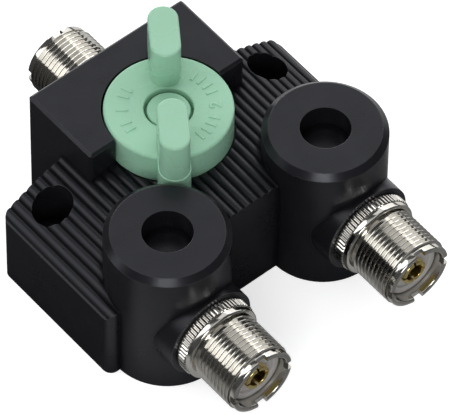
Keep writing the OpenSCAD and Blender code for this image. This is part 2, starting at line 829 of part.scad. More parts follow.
// A round washer bowed about the pointer's direction
module spring_washer() {
    bow = washer_bend - sqrt(pow(washer_bend, 2) - pow(washer_radius, 2));
    washer_top = ring_top + washer_thickness + bow;
    color("#8f9296") on_pointer() intersection() {
        translate([0, 0, ring_top]) difference() {
            cylinder(r = washer_radius, h = washer_top - ring_top);
            translate([0, 0, -cut])
                cylinder(r = shaft_radius + free_gap, h = washer_top - ring_top + 2 * cut);
        }
        translate([0, 0, washer_top - washer_bend - washer_thickness]) difference() {
            rod(washer_bend + washer_thickness, -ring_radius, ring_radius);
            rod(washer_bend, -ring_radius - cut, ring_radius + cut);
        }
    }
}

// Rotor and its contacts, drawn with the blade along +X

module each_sector_rivet() {
    for (side = [-1, 1])
        rotate([0, 0, side * sector_rivet_turn]) translate([sector_rivet_reach, 0, 0]) children();
}

module rivet(bottom, grip) {
    translate([0, 0, bottom - rivet_head_height]) cylinder(r = rivet_head, h = rivet_head_height);
    translate([0, 0, bottom]) cylinder(r = rivet_radius, h = grip);
}

module rotor() {
    color("#e9e4d2") on_pointer() difference() {
        union() {
            translate([0, 0, rotor_bottom])
                cylinder(r = rotor_radius, h = rotor_top - rotor_bottom);
            translate([0, 0, blade_top]) {
                cylinder(r = neck_hub_radius, h = rotor_bottom - blade_top);
                translate([0, -blade_width / 2, 0])
                    cube([arm_reach, blade_width, rotor_bottom - blade_top]);
            }
        }
        translate([0, 0, hub_floor]) cylinder(r = hub_radius, h = hub_depth + cut);
        shaft_hole(shaft_bottom, rotor_top + cut);
        translate([0, 0, blade_top - cut])
            cylinder(r = pivot_radius + running_gap, h = post_rise + free_gap + cut);
        translate([0, -pin_reach, pin_height]) rotate([-quarter_turn, 0, 0])
            cylinder(r = pin_radius + seat_gap, h = rotor_radius + pin_reach + cut);
        translate([-ball_reach, 0, ball_floor])
            cylinder(r = ball_radius + seat_gap, h = rotor_top - ball_floor + cut);
        translate([blade_rivet_reach, 0, blade_top - cut])
            cylinder(r = rivet_radius + seat_gap, h = rotor_bottom - blade_top + rivet_grip + cut);
        each_sector_rivet() translate([0, 0, rotor_bottom - cut])
            cylinder(r = rivet_radius + seat_gap, h = rivet_grip + cut);
    }
}

module rotor_pin() {
    color("#9a9da1") on_pointer() translate([0, -pin_reach + seat_gap, pin_height])
        rotate([-quarter_turn, 0, 0]) cylinder(r = pin_radius, h = 2 * pin_reach);
}

module rotor_rivets() {
    color("#c9c2a8") on_pointer() {
        translate([blade_rivet_reach, 0, 0])
            rivet(blade_bottom, rotor_bottom - blade_bottom + rivet_grip - seat_gap);
        each_sector_rivet() rivet(sector_bottom, sector_thickness + rivet_grip - seat_gap);
    }
}

module contact_blade() {
    color("#cfd0d0") on_pointer() translate([0, 0, blade_bottom]) difference() {
        union() {
            cylinder(r = blade_eye, h = blade_thickness);
            intersection() {
                translate([0, -blade_width / 2, 0])
                    cube([blade_reach + cut, blade_width, blade_thickness]);
                cylinder(r = blade_reach, h = blade_thickness);
            }
        }
        translate([0, 0, -cut])
            cylinder(r = pivot_radius + running_gap, h = blade_thickness + 2 * cut);
        translate([blade_rivet_reach, 0, -cut])
            cylinder(r = rivet_radius + seat_gap, h = blade_thickness + 2 * cut);
    }
}

// A finger of the ground sector, which hangs down into the level of the blade
module ground_finger(side) {
    rotate([0, 0, side * travel]) {
        translate([web_inner, -blade_width / 2, blade_bottom])
            cube([web_thickness, blade_width, rotor_bottom - blade_bottom]);
        translate([0, 0, blade_bottom]) intersection() {
            translate([web_inner, -blade_width / 2, 0])
                cube([blade_reach, blade_width, blade_thickness]);
            cylinder(r = blade_reach, h = blade_thickness);
        }
    }
}

module ground_sector() {
    far = 2 * sector_radius;
    color("#b9975b") on_pointer() difference() {
        union() {
            translate([0, 0, sector_bottom]) difference() {
                cylinder(r = sector_radius, h = sector_thickness);
                translate([0, 0, -cut]) cylinder(r = sector_inner, h = sector_thickness + 2 * cut);
                translate([0, 0, -cut]) linear_extrude(sector_thickness + 2 * cut) polygon([
                    [0, 0], [far * cos(sector_gap_turn), -far * sin(sector_gap_turn)],
                    [far, 0], [far * cos(sector_gap_turn), far * sin(sector_gap_turn)]
                ]);
            }
            ground_finger(-1);
            ground_finger(1);
        }
        each_sector_rivet() translate([0, 0, sector_bottom - cut])
            cylinder(r = rivet_radius + seat_gap, h = sector_thickness + 2 * cut);
    }
}

module detent_ball() {
    color("#b8bbbf") on_pointer() translate([-ball_reach, 0, ball_height]) sphere(ball_radius);
}

module detent_spring() {
    spring_radius = ball_radius - seat_gap;
    spring_inner = spring_radius - spring_wall;
    spring_top = ball_height - sqrt(pow(ball_radius, 2) - pow(spring_inner, 2));
    color("#8f9296") on_pointer() translate([-ball_reach, 0, ball_floor]) difference() {
        cylinder(r = spring_radius, h = spring_top - ball_floor);
        translate([0, 0, -cut]) cylinder(r = spring_inner, h = spring_top - ball_floor + 2 * cut);
    }
}

housing();
bottom_cover();
cover_screws();
left_connector_shell();
right_connector_shell();
common_connector_shell();
left_insulator();
right_insulator();
common_insulator();
left_contact();
right_contact();
common_contact();
left_conductor();
right_conductor();
common_conductor();
left_bead();
right_bead();
left_contact_jaw();
right_contact_jaw();
contact_base();
detent_plate();
detent_screws();
shaft_bushing();
knob();
knob_cap();
knob_screw();
shaft();
retaining_ring();
spring_washer();
rotor();
rotor_pin();
rotor_rivets();
contact_blade();
ground_sector();
detent_ball();
detent_spring();
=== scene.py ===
import logging
import math
from dataclasses import dataclass, field
from enum import Enum
from typing import Callable

import bpy
from mathutils import Matrix, Vector


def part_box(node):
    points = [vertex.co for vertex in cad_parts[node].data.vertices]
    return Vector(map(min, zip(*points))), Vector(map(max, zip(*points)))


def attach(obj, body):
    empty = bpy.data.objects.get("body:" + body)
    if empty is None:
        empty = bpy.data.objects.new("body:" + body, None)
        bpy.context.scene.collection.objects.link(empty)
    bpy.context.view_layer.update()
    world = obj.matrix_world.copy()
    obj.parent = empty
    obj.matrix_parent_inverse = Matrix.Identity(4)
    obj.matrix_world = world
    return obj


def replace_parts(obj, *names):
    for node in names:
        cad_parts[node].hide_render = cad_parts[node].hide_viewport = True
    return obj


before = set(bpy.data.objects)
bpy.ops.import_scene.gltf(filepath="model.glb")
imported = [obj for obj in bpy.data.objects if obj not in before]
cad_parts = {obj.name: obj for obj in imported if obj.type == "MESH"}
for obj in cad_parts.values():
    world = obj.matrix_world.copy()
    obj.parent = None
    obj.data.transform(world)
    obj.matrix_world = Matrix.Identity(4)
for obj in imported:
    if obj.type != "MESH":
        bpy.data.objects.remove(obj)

# A ribbed black switch box with three threaded coaxial sockets and a pale green knob.
# Lengths in the classes are millimetres, and MM turns them into the frame's metres.
# Places closer than SAME metres are one place, and MERGED is the gap in millimetres that is closed
# after a cut. A direction lies along an axis above the cosine ALONG, and across it below ACROSS.

MM = 0.001
SAME = 1e-7
MERGED = 0.001
ALONG = 0.99
ACROSS = 0.02

# Where the colour sockets of a Mix node stand in its lists.

FIRST, SECOND, MIXED = 6, 7, 2

log = logging.getLogger("antenna_switch")
Piece = bpy.types.Object
Value = bpy.types.NodeSocket
Test = Callable[[Vector, Vector], bool]


class Pick(Enum):
    """What an edit works on."""

    POINTS = "VERT"
    EDGES = "EDGE"
    FACES = "FACE"


class Cut(Enum):
    """Whether a solid is cut away from another or joined with it."""

    AWAY = "DIFFERENCE"
    TOGETHER = "UNION"


class Socket(Enum):
    """The three sockets, by the side of the body that they sit on."""

    LEFT = "left"
    RIGHT = "right"
    COMMON = "common"


class Post(Enum):
    """The knob's two posts, by the way in which each lies from the axis."""

    POINTER = 1
    REAR = -1


def deselect() -> None:
    """Leaves nothing selected, the frame's own pieces included."""
    if bpy.context.object and bpy.context.object.mode == "EDIT":
        bpy.ops.object.mode_set(mode="OBJECT")
    bpy.ops.object.select_all(action="DESELECT")


def take_up(piece: Piece) -> None:
    """Makes one piece the only one selected, and active.

    Args:
        piece: The piece to work on.
    """
    deselect()
    piece.select_set(True)
    bpy.context.view_layer.objects.active = piece


def every(_place: Vector, _aim: Vector) -> bool:
    """A test that everything passes."""
    return True


def edit(piece: Piece, kind: Pick, test: Test, tool: Callable, **settings: object) -> None:
    """Runs one tool on the points, edges or faces of a piece that pass a test.

    Args:
        piece: The piece to change.
        kind: Whether points, edges or faces are picked.
        test: Takes a place, and a face's or point's normal or an edge's direction.
        tool: The operator.
        **settings: The operator's own values.
    """
    take_up(piece)
    bpy.ops.object.mode_set(mode="EDIT")
    bpy.ops.mesh.select_mode(type=kind.value)
    bpy.ops.mesh.select_all(action="DESELECT")
    bpy.ops.object.mode_set(mode="OBJECT")
    mesh = piece.data
    if kind is Pick.FACES:
        found = [(face, face.center, face.normal) for face in mesh.polygons]
    elif kind is Pick.POINTS:
        found = [(point, point.co, point.normal) for point in mesh.vertices]
    else:
        ends = [(edge, *(mesh.vertices[i].co for i in edge.vertices)) for edge in mesh.edges]
        found = [(edge, (a + b) / 2, (b - a).normalized()) for edge, a, b in ends]
    for element, place, aim in found:
        element.select = test(place, aim)
    bpy.ops.object.mode_set(mode="EDIT")
    tool(**settings)
    bpy.ops.object.mode_set(mode="OBJECT")


def clean(piece: Piece, gap: float = 0.002) -> None:
    """Merges doubled points and turns every face outward.

    Args:
        piece: The piece to clean.
        gap: The distance under which points are merged, in millimetres.
    """
    take_up(piece)
    bpy.ops.object.mode_set(mode="EDIT")
    bpy.ops.mesh.select_all(action="SELECT")
    bpy.ops.mesh.remove_doubles(threshold=gap * MM)
    bpy.ops.mesh.normals_make_consistent(inside=False)
    bpy.ops.object.mode_set(mode="OBJECT")


def settle(piece: Piece) -> None:
    """Moves a piece's place, turn and size into its mesh."""
    take_up(piece)
    bpy.ops.object.transform_apply(location=True, rotation=True, scale=True)


def press(piece: Piece, kind: str, **settings: object) -> None:
    """Adds one modifier to a piece and applies it.

    Args:
        piece: The piece to change.
        kind: The modifier's type.
        **settings: The modifier's own values.
    """
    take_up(piece)
    bpy.ops.object.modifier_add(type=kind)
    modifier = piece.modifiers[-1]
    for name, value in settings.items():
        setattr(modifier, name, value)
    bpy.ops.object.modifier_apply(modifier=modifier.name)


def smooth(piece: Piece, angle: float) -> None:
    """Shades a piece smooth and keeps its broad faces flat.

    Args:
        piece: The piece to shade.
        angle: The angle in degrees up to which an edge is smooth.
    """
    take_up(piece)
    bpy.ops.object.shade_smooth_by_angle(angle=math.radians(angle))
    press(piece, "WEIGHTED_NORMAL", keep_sharp=True, weight=90)


def cut_with(piece: Piece, cutter: Piece, way: Cut = Cut.AWAY) -> None:
    """Cuts a piece with another or joins both into one solid, and removes the other.

    Args:
        piece: The piece that stays.
        cutter: The piece that is used up.
        way: Whether it cuts away or joins.
    """
    press(piece, "BOOLEAN", operation=way.value, object=cutter, solver="EXACT")
    bpy.data.objects.remove(cutter, do_unlink=True)


def join(pieces: list[Piece]) -> Piece:
    """Joins several pieces into the first one.

    Args:
        pieces: The pieces to join.

    Returns:
        The joined piece.
    """
    deselect()
    for piece in pieces:
        piece.select_set(True)
    bpy.context.view_layer.objects.active = pieces[0]
    bpy.ops.object.join()
    return pieces[0]


def report(piece: Piece) -> None:
    """Writes a piece's name and number of faces to the log."""
    log.info("%s, %d faces", piece.name, len(piece.data.polygons))


def arc(centre: tuple[float, float], radius: float, start: float, end: float, steps: int) -> list:
    """Points along an arc of an outline.

    Args:
        centre: The arc's middle.
        radius: The arc's radius.
        start: Angle of the first point, in degrees.
        end: Angle of the last point, in degrees.
        steps: Number of stretches.

    Returns:
        The points from start to end.
    """
    turns = [math.radians(start + (end - start) * i / steps) for i in range(steps + 1)]
    return [(centre[0] + radius * math.cos(t), centre[1] + radius * math.sin(t)) for t in turns]


def outline(name: str, points: list, closed: bool = True) -> Piece:
    """Draws an outline in the XZ plane by extruding one point along it.

    Args:
        name: The new piece's name.
        points: Distance from the Z axis and height of each point, in millimetres.
        closed: Whether the last point is tied to the first.

    Returns:
        A piece of edges only.
    """
    deselect()
    bpy.ops.mesh.primitive_plane_add(size=MM, location=(0, 0, 0))
    piece = bpy.context.object
    piece.name = piece.data.name = name
    bpy.ops.object.mode_set(mode="EDIT")
    bpy.ops.mesh.select_mode(type=Pick.POINTS.value)
    bpy.ops.mesh.select_all(action="SELECT")
    bpy.ops.mesh.merge(type="CENTER")
    bpy.ops.transform.translate(value=(points[0][0] * MM, 0, points[0][1] * MM))
    for before, after in zip(points, points[1:]):
        step = ((after[0] - before[0]) * MM, 0, (after[1] - before[1]) * MM)
        bpy.ops.mesh.extrude_region_move(TRANSFORM_OT_translate={"value": step})
    bpy.ops.object.mode_set(mode="OBJECT")
    if closed:
        ends = [Vector((p[0] * MM, 0, p[1] * MM)) for p in (points[0], points[-1])]
        edit(piece, Pick.POINTS, lambda place, _: min((place - e).length for e in ends) < SAME,
             bpy.ops.mesh.edge_face_add)
    return piece


def turned(name: str, points: list, steps: int, closed: bool = True) -> Piece:
    """Turns an outline about the Z axis, as on a lathe.

    Args:
        name: The new piece's name.
        points: The outline, as for outline().
        steps: Number of flats round the piece.
        closed: Whether the outline is a closed one.

    Returns:
        The turned piece.
    """
    piece = outline(name, points, closed)
    take_up(piece)
    bpy.ops.object.mode_set(mode="EDIT")
    bpy.ops.mesh.select_all(action="SELECT")
    bpy.ops.mesh.spin(steps=steps, angle=math.tau, center=(0, 0, 0), axis=(0, 0, 1))
    clean(piece)
    return piece


def bar(name: str, size: tuple, centre: tuple, turn: float = 0) -> Piece:
    """Makes a straight bar, as a cutter or as a raised mark.

    Args:
        name: Its name.
        size: Its size along X, Y and Z, in millimetres.
        centre: Its middle, in millimetres.
        turn: Its turn about its own middle, in degrees.

    Returns:
        The bar.
    """
    deselect()
    bpy.ops.mesh.primitive_cube_add(size=MM, location=[c * MM for c in centre])
    piece = bpy.context.object
    piece.name = name
    piece.scale = size
    piece.rotation_euler = (0, 0, math.radians(turn))
    settle(piece)
    return piece


def cross_cut(piece: Piece, size: tuple, height: float, turn: float = 0) -> None:
    """Cuts two slots that cross on the Z axis.

    Args:
        piece: The piece to cut.
        size: The cutter's size along X, Y and Z, in millimetres.
        height: Height of the cutter's middle, in millimetres.
        turn: The first slot's turn, in degrees.
    """
    for way in (0, 90):
        cut_with(piece, bar("slot_cutter", size, (0, 0, height), turn + way))


# Finishes


def grey(level: float) -> tuple:
    """A grey of a level from 0 to 1."""
    return (level, level, level)


def scaled(colour: tuple, share: float) -> tuple:
    """A colour times a share."""
    return tuple(c * share for c in colour)


class Bench:
    """Lays out the nodes of one material. Each pair of limits is where a change starts and ends."""

    bevel_samples: int = 4
    open_samples: int = 8
    edge_limits: tuple = (0.995, 0.9)
    open_limits: tuple = (0.70, 0.99)
    tint_limits: tuple = (0.35, 0.65)
    gloss_limits: tuple = (0.3, 0.7)

    def __init__(self, name: str) -> None:
        """Starts a material with its shader and output.

        Args:
            name: The material's name.
        """
        self.material = bpy.data.materials.new(name)
        self.material.use_nodes = True
        self.tree = self.material.node_tree
        self.tree.nodes.clear()
        self.shader = self.add("ShaderNodeBsdfPrincipled")
        output = self.add("ShaderNodeOutputMaterial")
        self.tie(self.shader.outputs["BSDF"], output.inputs["Surface"])
        self.place = self.add("ShaderNodeTexCoord").outputs["Object"]

    def add(self, kind: str, **settings: object) -> bpy.types.Node:
        """Adds a node and sets its own values.

        Args:
            kind: The node's type.
            **settings: The node's own values.

        Returns:
            The node.
        """
        node = self.tree.nodes.new(kind)
        for name, value in settings.items():
            setattr(node, name, value)
        return node

    def tie(self, source: Value, target: Value) -> None:
        """Links two sockets."""
        self.tree.links.new(source, target)

    def feed(self, name: str, source: Value) -> None:
        """Links a value to one of the shader's own sockets."""
        self.tie(source, self.shader.inputs[name])

    def put(self, node: bpy.types.Node, **values: object) -> None:
        """Sets a node's sockets, with underscores for the spaces in their names."""
        for name, value in values.items():
            node.inputs[name.replace("_", " ")].default_value = value

    def set(self, **values: object) -> None:
        """Sets the shader's own sockets in the same way."""
        self.put(self.shader, **values)

    def noise(self, scale: float, detail: float, stretch: tuple = (1, 1, 1)) -> Value:
        """A noise on the object's own coordinates.

        Args:
            scale: Cells per metre.
            detail: Octaves of the noise.
            stretch: Share of the scale along each axis.

        Returns:
            The noise's value.
        """
        mapping = self.add("ShaderNodeMapping")
        self.put(mapping, Scale=stretch)
        self.tie(self.place, mapping.inputs["Vector"])
        node = self.add("ShaderNodeTexNoise")
        self.put(node, Scale=scale, Detail=detail)
        self.tie(mapping.outputs["Vector"], node.inputs["Vector"])
        return node.outputs["Fac"]

    def span(self, source: Value, low: float, high: float, to: tuple = (0, 1)) -> Value:
        """Maps a value from one range to another.

        Args:
            source: The value.
            low: Start of its range.
            high: End of its range.
            to: The new range.

        Returns:
            The mapped value.
        """
        node = self.add("ShaderNodeMapRange")
        self.put(node, From_Min=low, From_Max=high, To_Min=to[0], To_Max=to[1])
        self.tie(source, node.inputs["Value"])
        return node.outputs["Result"]

    def blend(self, share: Value, first: object, second: object) -> Value:
        """Mixes two colours, each a colour or a socket.

        Args:
            share: How much of the second colour shows.
            first: The first colour.
            second: The second colour.

        Returns:
            The mixed colour.
        """
        node = self.add("ShaderNodeMix", data_type="RGBA")
        self.tie(share, node.inputs["Factor"])
        for socket, colour in ((node.inputs[FIRST], first), (node.inputs[SECOND], second)):
            if isinstance(colour, tuple):
                socket.default_value = (*colour, 1)
            else:
                self.tie(colour, socket)
        return node.outputs[MIXED]

    def ramp(self, share: Value, stops: tuple) -> Value:
        """Runs through several greys.

        Args:
            share: Where on the run a point lies, from 0 to 1.
            stops: The place and the grey of each stop.

        Returns:
            The grey.
        """
        node = self.add("ShaderNodeValToRGB")
        band = node.color_ramp.elements
        while len(band) < len(stops):
            band.new(1.0)
        for stop, (place, level) in zip(band, stops):
            stop.position = place
            stop.color = (*grey(level), 1)
        self.tie(share, node.inputs[0])
        return node.outputs["Color"]

    def softened(self, radius: float) -> Value:
        """The surface's direction with its edges rounded.

        Args:
            radius: Radius of the rounded edges, in millimetres.

        Returns:
            The direction.
        """
        soft = self.add("ShaderNodeBevel", samples=self.bevel_samples)
        self.put(soft, Radius=radius * MM)
        return soft.outputs["Normal"]

    def edges(self, radius: float) -> Value:
        """Where the surface turns sharply within a radius in millimetres.

        Args:
            radius: Width of the band beside an edge.

        Returns:
            A value from 0 on the flats to about 1 on the edges.
        """
        soft = self.softened(radius)
        true = self.add("ShaderNodeNewGeometry")
        dot = self.add("ShaderNodeVectorMath", operation="DOT_PRODUCT")
        self.tie(soft, dot.inputs[0])
        self.tie(true.outputs["Normal"], dot.inputs[1])
        return self.span(dot.outputs["Value"], *self.edge_limits)

    def openness(self, reach: float) -> Value:
        """How freely a point lies, against walls of its own piece within a reach in millimetres.

        Args:
            reach: How far a wall counts.

        Returns:
            A value from 0 in a groove to 1 on a crest or a flat.
        """
        node = self.add("ShaderNodeAmbientOcclusion", samples=self.open_samples, only_local=True)
        self.put(node, Distance=reach * MM)
        return self.span(node.outputs["AO"], *self.open_limits)

    def tint(self, pattern: Value, first: tuple, second: tuple) -> Value:
        """A colour that drifts from the first to the second with a pattern."""
        return self.blend(self.span(pattern, *self.tint_limits), first, second)

    def gloss(self, pattern: Value, limits: tuple) -> None:
        """Lets the shader's roughness drift between two limits with a pattern."""
        self.feed("Roughness", self.span(pattern, *self.gloss_limits, limits))

    def rough(self, height: Value, depth: float, strength: float, rounding: float = 0) -> None:
        """Gives the shader a bump.

        Args:
            height: The height pattern.
            depth: The pattern's depth in millimetres.
            strength: Share of the bump that shows.
            rounding: Radius of the soft edges under the bump, in millimetres.
        """
        bump = self.add("ShaderNodeBump")
        self.put(bump, Distance=depth * MM, Strength=strength)
        self.tie(height, bump.inputs["Height"])
        if rounding:
            self.tie(self.softened(rounding), bump.inputs["Normal"])
        self.feed("Normal", bump.outputs["Normal"])


@dataclass(frozen=True)
class BlackEnamel:
    """Satin black enamel over the casting, with a fine peel, edges painted paler for wear and a highlight,
    and painted shade in its grooves.
    """

    name: str = "satin_black_enamel"
    colour: tuple = (0.0090, 0.0090, 0.0110)
    # The paler colour of the edges: partly wear, partly a painted highlight.
    edge_wear_and_highlight: tuple = (0.060, 0.060, 0.064)
    gloss: tuple = (0.26, 0.34)
    sheen: tuple = (0.04, 0.35)
    sheen_tint: tuple = (0.90, 0.92, 1.0, 1)
    mottle_scale: float = 220
    mottle_lift: float = 1.25
    peel_scale: float = 2600
    peel_depth: float = 0.010
    pale_edge_band: float = 0.22
    groove_reach: float = 1.5
    # The share of the enamel's colour that the painted shade in the grooves keeps.
    painted_groove_shade: float = 0.85
    soft_edge: float = 0.25

    def material(self) -> bpy.types.Material:
        """Makes the material.

        Returns:
            The material.
        """
        bench = Bench(self.name)
        mottle = bench.noise(self.mottle_scale, detail=3)
        peel = bench.noise(self.peel_scale, detail=2)
        coat = bench.tint(mottle, self.colour, scaled(self.colour, self.mottle_lift))
        # Edges are painted paler, partly for wear and partly as a painted highlight along the rounded edges.
        coat = bench.blend(bench.edges(self.pale_edge_band), coat, self.edge_wear_and_highlight)
        # Painted shade: where the piece's own walls close round a point, as between the ribs, the colour is
        # painted darker and the specular level lower.
        unshaded_share = bench.openness(self.groove_reach)
        bench.feed("Base Color", bench.blend(unshaded_share, scaled(self.colour, self.painted_groove_shade), coat))
        bench.gloss(mottle, self.gloss)
        bench.feed("Specular IOR Level", bench.span(unshaded_share, 0, 1, self.sheen))
        bench.set(Specular_Tint=self.sheen_tint)
        bench.rough(peel, self.peel_depth, strength=0.5, rounding=self.soft_edge)
        return bench.material


@dataclass(frozen=True)
class MintPlastic:
    """Moulded pale green plastic, with a soft gloss."""

    name: str = "mint_green_plastic"
    colour: tuple = (0.340, 0.620, 0.440)
    shade: tuple = (0.326, 0.594, 0.420)
    gloss: tuple = (0.24, 0.30)
    cloud_scale: float = 150
    grain_scale: float = 3500
    grain_depth: float = 0.004
    soft_edge: float = 0.1

    def material(self) -> bpy.types.Material:
        """Makes the material.

        Returns:
            The material.
        """
        bench = Bench(self.name)
        cloud = bench.noise(self.cloud_scale, detail=3)
        grain = bench.noise(self.grain_scale, detail=2)
        bench.feed("Base Color", bench.tint(cloud, self.colour, self.shade))
        bench.gloss(cloud, self.gloss)
        bench.set(Specular_IOR_Level=0.5, Subsurface_Weight=0.06, Subsurface_Scale=0.002)
        bench.rough(grain, self.grain_depth, strength=0.35, rounding=self.soft_edge)
        return bench.material


@dataclass(frozen=True)
class TurnedMetal:
    """Bare or plated metal with fine marks: rings round the sockets' axes, or lines up and down.

    The stretch is the share of the marks' scale along each axis.
    """

    name: str
    colour: tuple
    gloss: tuple
    stretch: tuple = (0.02, 1, 0.02)
    ring_scale: float = 9000
    ring_depth: float = 0.004
    haze_scale: float = 300
    haze_limits: tuple = (0.4, 0.7)
    haze_shade: float = 0.86
    soft_edge: float = 0.02

    def material(self) -> bpy.types.Material:
        """Makes the material.

        Returns:
            The material.
        """
        bench = Bench(self.name)
        rings = bench.noise(self.ring_scale, detail=3, stretch=self.stretch)
        haze = bench.noise(self.haze_scale, detail=4)
        dull = scaled(self.colour, self.haze_shade)
        bench.feed("Base Color", bench.blend(bench.span(haze, *self.haze_limits), self.colour, dull))
        bench.gloss(haze, self.gloss)
        bench.set(Metallic=1.0)
        bench.rough(rings, self.ring_depth, strength=0.5, rounding=self.soft_edge)
        return bench.material


@dataclass(frozen=True)
class Resin:
    """Turned insulating plastic, dull and faintly cloudy."""

    name: str
    colour: tuple
    gloss: tuple = (0.38, 0.5)
    cloud_scale: float = 400
    cloud_shade: float = 0.9
    grain_scale: float = 5000
    grain_depth: float = 0.004

    def material(self) -> bpy.types.Material:
        """Makes the material.

        Returns:
            The material.
        """
        bench = Bench(self.name)
        cloud = bench.noise(self.cloud_scale, detail=4)
        bench.feed("Base Color", bench.tint(cloud, self.colour, scaled(self.colour, self.cloud_shade)))
        bench.gloss(cloud, self.gloss)
        bench.set(Subsurface_Weight=0.1, Subsurface_Scale=0.001)
        bench.rough(bench.noise(self.grain_scale, detail=2), self.grain_depth, strength=0.4)
        return bench.material


@dataclass
class Finishes:
    """Every finish of the switch, made once, by the record's slot."""

    nickel: TurnedMetal = TurnedMetal("bright_nickel", (0.72, 0.70, 0.65), (0.06, 0.13))
    gold: TurnedMetal = TurnedMetal("gold_plate", (0.96, 0.77, 0.31), (0.14, 0.24))
    steel: TurnedMetal = TurnedMetal("plain_steel", (0.56, 0.57, 0.58), (0.22, 0.34), stretch=(1, 1, 0.02))
    silver: TurnedMetal = TurnedMetal("silver_plate", (0.90, 0.89, 0.86), (0.12, 0.22))
    brass: TurnedMetal = TurnedMetal("drawn_brass", (0.80, 0.62, 0.30), (0.2, 0.3), stretch=(1, 1, 0.02))
    ptfe: Resin = Resin("grey_insulator", (0.44, 0.425, 0.41))
    body_paint: BlackEnamel = BlackEnamel()
    knob_plastic: MintPlastic = MintPlastic()
    made: dict = field(default_factory=dict)

    def of(self, slot: str) -> bpy.types.Material:
        """The material of a slot, made at its first use.

        Args:
            slot: The record's material slot.

        Returns:
            The material.
        """
        if slot not in self.made:
            self.made[slot] = getattr(self, slot).material()
        return self.made[slot]

    def dress(self, piece: Piece, slot: str) -> None:
        """Gives a new piece the finish of a slot.

        Args:
            piece: The new piece.
            slot: The record's material slot.
        """
        piece.data.materials.clear()
        piece.data.materials.append(self.of(slot))

    def dress_node(self, node: Piece, slot: str) -> None:
        """Gives a piece of the frame its finish.

        Args:
            node: The frame's piece.
            slot: The record's material slot.
        """
        if not node.data.materials:
            node.data.materials.append(None)
        for index in range(len(node.data.materials)):
            node.data.materials[index] = self.of(slot)


# Sub-assemblies


